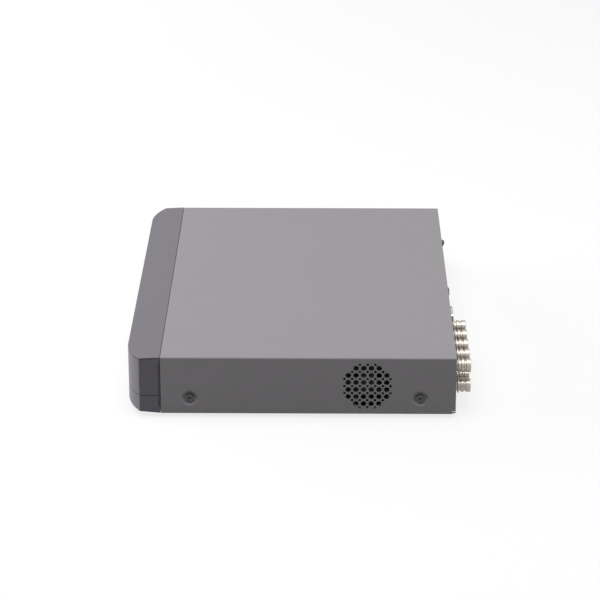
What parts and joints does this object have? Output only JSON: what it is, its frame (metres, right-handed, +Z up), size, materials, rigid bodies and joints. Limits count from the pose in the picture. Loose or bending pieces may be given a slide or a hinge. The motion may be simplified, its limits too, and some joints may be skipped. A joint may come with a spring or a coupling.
{
  "type": "video recorder",
  "caption": "Low rectangular video recorder: folded metal cover with a round side fan grille, curved two-part front bezel and bayonet video jacks on the rear.",
  "frame": {"origin": "middle of the bounding box, at the feet", "axes": "+Z up; the front bezel faces -Y, the rear jacks face +Y and the fan grille is in the +X side"},
  "size_m": [0.315, 0.242, 0.045],
  "materials": {
    "cover_paint": "fine satin powder coat, mid grey",
    "zinc_steel": "zinc-plated sheet",
    "bezel_plastic": "satin dark grey moulding",
    "smoked_plastic": "smoked, nearly black",
    "clear_plastic": "clear, frosted",
    "laminate": "solder mask over laminate",
    "nickel": "nickel plate",
    "rubber": "matt",
    "insulator": "natural white",
    "black_plastic": "satin black",
    "blue_plastic": "blue moulding",
    "green_plastic": "green moulding",
    "aluminium": "cast and extruded",
    "cell_steel": "plain",
    "red_sleeve": "red sleeve",
    "dark_screw": "blackened steel"
  },
  "bodies": {
    "case": {"audio_in_jack": "black_plastic", "audio_out_jack": "black_plastic", "base_tray": "zinc_steel", "battery_holder": "black_plastic", "bezel_lower": "bezel_plastic", "bezel_upper": "bezel_plastic", "bnc_insulator": "insulator", "bnc_jack_1": "nickel", "bnc_jack_2": "nickel", "bnc_jack_3": "nickel", "bnc_jack_4": "nickel", "bnc_jack_5": "nickel", "bnc_jack_6": "nickel", "bnc_jack_7": "nickel", "bnc_jack_8": "nickel", "bnc_jack_9": "nickel", "board_screw_1": "dark_screw", "board_screw_2": "dark_screw", "board_screw_3": "dark_screw", "board_screw_4": "dark_screw", "clock_battery": "cell_steel", "cover_screw_1": "dark_screw", "cover_screw_2": "dark_screw", "cover_screw_3": "dark_screw", "cover_screw_4": "dark_screw", "data_cable": "red_sleeve", "dc_jack": "black_plastic", "drive_screw_1": "dark_screw", "drive_screw_2": "dark_screw", "drive_screw_3": "dark_screw", "drive_screw_4": "dark_screw", "fan_frame": "black_plastic", "fan_lead": "black_plastic", "fan_screw_1": "dark_screw", "fan_screw_2": "dark_screw", "foot_front_left": "rubber", "foot_front_right": "rubber", "foot_rear_left": "rubber", "foot_rear_right": "rubber", "front_board": "laminate", "front_lead": "black_plastic", "front_usb_port": "nickel", "ground_screw": "nickel", "hard_drive": "aluminium", "hdmi_port": "nickel", "heat_sink": "aluminium", "ir_window": "smoked_plastic", "lan_port": "nickel", "light_guide": "clear_plastic", "main_board": "laminate", "power_cable": "black_plastic", "serial_terminal": "green_plastic", "switch_housing": "black_plastic", "top_cover": "cover_paint", "usb_port": "nickel", "vga_jackscrew_1": "nickel", "vga_jackscrew_2": "nickel", "vga_port": "blue_plastic"},
    "fan": {"fan_rotor": "black_plastic"},
    "rocker": {"switch_rocker": "black_plastic"}
  },
  "joints": [
    {"name": "fan_spin", "type": "hinge", "parent": "case", "child": "fan", "pos_m": [0.14905, 0.048, 0.0239], "axis": [1, 0, 0], "continuous": true},
    {"name": "power_rocker", "type": "hinge", "parent": "case", "child": "rocker", "pos_m": [-0.1295, 0.1104, 0.0218], "axis": [1, 0, 0], "range_deg": [0, 20]}
  ]
}
